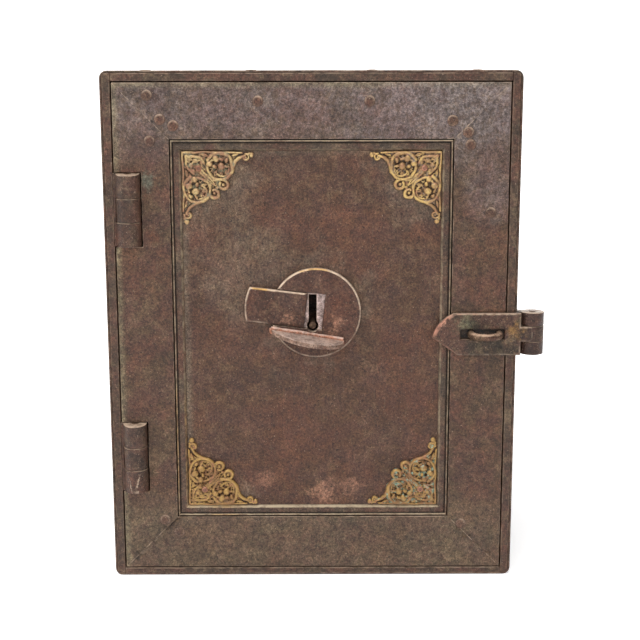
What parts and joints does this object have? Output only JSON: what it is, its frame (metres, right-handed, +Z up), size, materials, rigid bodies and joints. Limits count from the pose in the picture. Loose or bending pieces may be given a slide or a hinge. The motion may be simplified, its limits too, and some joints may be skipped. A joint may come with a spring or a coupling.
{
  "type": "iron strongbox",
  "caption": "Small wrought iron strongbox with a riveted, hinged door, key lock with a sliding keyhole cover, hasp and staple, and brass corner mounts.",
  "frame": {"origin": "centre of the flat base, midway between the front and back of the box", "axes": "+Z up, the door faces -Y, +X to the right as seen from the front"},
  "size_m": [0.2993, 0.2366, 0.352],
  "materials": {
    "sheet_iron": "dark oxidised sheet, fine pitting",
    "bar_iron": "dark oxidised flat bar, edges rubbed",
    "plate_iron": "dark brown hammered plate with grey dust",
    "panel_iron": "reddish brown rusted sheet",
    "moulding_iron": "dark grey-brown rolled strip",
    "forged_iron": "dark forged iron with rust at the joints",
    "lock_iron": "dark brown with bright rubbed edges",
    "rivet_iron": "hammered heads, dark brown",
    "inner_iron": "dull dark iron",
    "worn_steel": "rubbed bright on top, brown beside",
    "gilt_brass": "old gilt with green patina in the hollows",
    "copper_rivets": "copper coloured"
  },
  "bodies": {
    "box": {"outer_shell": "sheet_iron", "back_plate": "sheet_iron", "back_rivets": "rivet_iron", "frame_bar_left": "bar_iron", "frame_bar_right": "bar_iron", "frame_bar_top": "bar_iron", "frame_bar_bottom": "bar_iron", "frame_rivets": "rivet_iron", "stop_strip_right": "bar_iron", "stop_strip_top": "bar_iron", "stop_strip_bottom": "bar_iron", "upper_hinge_body_leaf": "forged_iron", "lower_hinge_body_leaf": "forged_iron", "hinge_leaf_rivets": "rivet_iron", "upper_hinge_pin": "worn_steel", "lower_hinge_pin": "worn_steel", "hasp_body_leaf": "forged_iron", "hasp_leaf_rivets": "rivet_iron", "hasp_pin": "worn_steel"},
    "door": {"door_panel": "panel_iron", "stile_left": "plate_iron", "stile_right": "plate_iron", "rail_top": "plate_iron", "rail_bottom": "plate_iron", "door_rivets": "rivet_iron", "moulding_left": "moulding_iron", "moulding_right": "moulding_iron", "moulding_top": "moulding_iron", "moulding_bottom": "moulding_iron", "corner_mount_top_left": "gilt_brass", "corner_mount_top_right": "gilt_brass", "corner_mount_bottom_left": "gilt_brass", "corner_mount_bottom_right": "gilt_brass", "corner_mount_rivets": "copper_rivets", "upper_hinge_door_leaf": "forged_iron", "lower_hinge_door_leaf": "forged_iron", "door_leaf_rivets": "rivet_iron", "lock_disc": "lock_iron", "pull_fin": "lock_iron", "lock_case": "inner_iron", "lock_rivets": "rivet_iron", "drill_pin": "worn_steel", "ward_ring": "inner_iron", "bolt_spring": "worn_steel", "bolt_guide": "inner_iron", "padlock_staple": "worn_steel"},
    "hasp": {"hasp_strap": "forged_iron"},
    "keyhole_shutter": {"keyhole_shutter": "lock_iron"},
    "lock_bolt": {"lock_bolt": "worn_steel"}
  },
  "joints": [
    {"name": "door_hinge", "type": "hinge", "parent": "box", "child": "door", "pos_m": [-0.123, -0.11, 0.176], "axis": [0, 0, -1], "range_deg": [0, 170]},
    {"name": "hasp_hinge", "type": "hinge", "parent": "box", "child": "hasp", "pos_m": [0.1511, -0.10495, 0.1748], "axis": [0, 0, 1], "range_deg": [0, 225]},
    {"name": "shutter_slide", "type": "slide", "parent": "door", "child": "keyhole_shutter", "axis": [0.9936, 0, -0.1132], "range_m": [0, 0.012]},
    {"name": "bolt_slide", "type": "slide", "parent": "door", "child": "lock_bolt", "axis": [1, 0, 0], "range_m": [0, 0.009]}
  ]
}
